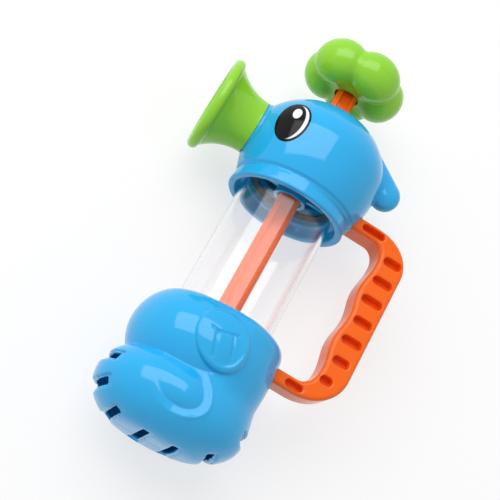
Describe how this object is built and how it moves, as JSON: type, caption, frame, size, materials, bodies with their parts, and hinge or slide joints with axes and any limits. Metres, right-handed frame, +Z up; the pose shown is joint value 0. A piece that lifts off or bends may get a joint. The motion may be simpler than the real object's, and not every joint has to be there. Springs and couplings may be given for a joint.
{
  "type": "toy water squirter",
  "caption": "Hand pump bath toy shaped like a sea creature: a lobed knob lifts a piston in a clear barrel and water leaves by a horn mouth; loop handle and slotted curled foot.",
  "frame": {"origin": "on the standing face under the pump axis", "axes": "+Z up along the pump axis, -Y towards the horn mouth, +Y towards the handle, +X to the object's right side"},
  "size_m": [0.0804, 0.1359, 0.2455],
  "materials": {
    "blue_shell": "glossy moulded sky-blue plastic",
    "green_plastic": "glossy moulded lime-green plastic",
    "orange_plastic": "glossy moulded orange plastic",
    "eye_print": "gloss print in black and white",
    "clear_plastic": "clear polished plastic",
    "white_plastic": "satin white plastic",
    "seal_rubber": "soft dark rubber",
    "screw_steel": "bright zinc-plated steel"
  },
  "bodies": {
    "body": {"head_shell_right": "blue_shell", "head_shell_left": "blue_shell", "spout_horn": "green_plastic", "eye_right": "eye_print", "eye_left": "eye_print", "barrel": "clear_plastic", "barrel_top_gasket": "seal_rubber", "barrel_bottom_gasket": "seal_rubber", "rod_guide": "blue_shell", "valve_seat": "white_plastic", "flap_pin": "screw_steel", "base_shell_right": "blue_shell", "base_shell_left": "blue_shell", "handle": "orange_plastic", "head_screws": "screw_steel", "base_screws": "screw_steel"},
    "plunger": {"plunger_rod": "orange_plastic", "piston": "white_plastic", "piston_seal": "seal_rubber", "piston_screw": "screw_steel", "knob_lower": "green_plastic", "knob_upper": "green_plastic", "knob_screw": "screw_steel"},
    "foot_valve": {"foot_flap": "seal_rubber"},
    "piston_valve": {"piston_flap": "seal_rubber"}
  },
  "joints": [
    {"name": "plunger_slide", "type": "slide", "parent": "body", "child": "plunger", "axis": [0, 0, 1], "range_m": [0, 0.08]},
    {"name": "foot_flap_lift", "type": "slide", "parent": "body", "child": "foot_valve", "axis": [0, 0, 1], "range_m": [0, 0.0025]},
    {"name": "piston_flap_lift", "type": "slide", "parent": "plunger", "child": "piston_valve", "axis": [0, 0, 1], "range_m": [0, 0.0024]}
  ]
}
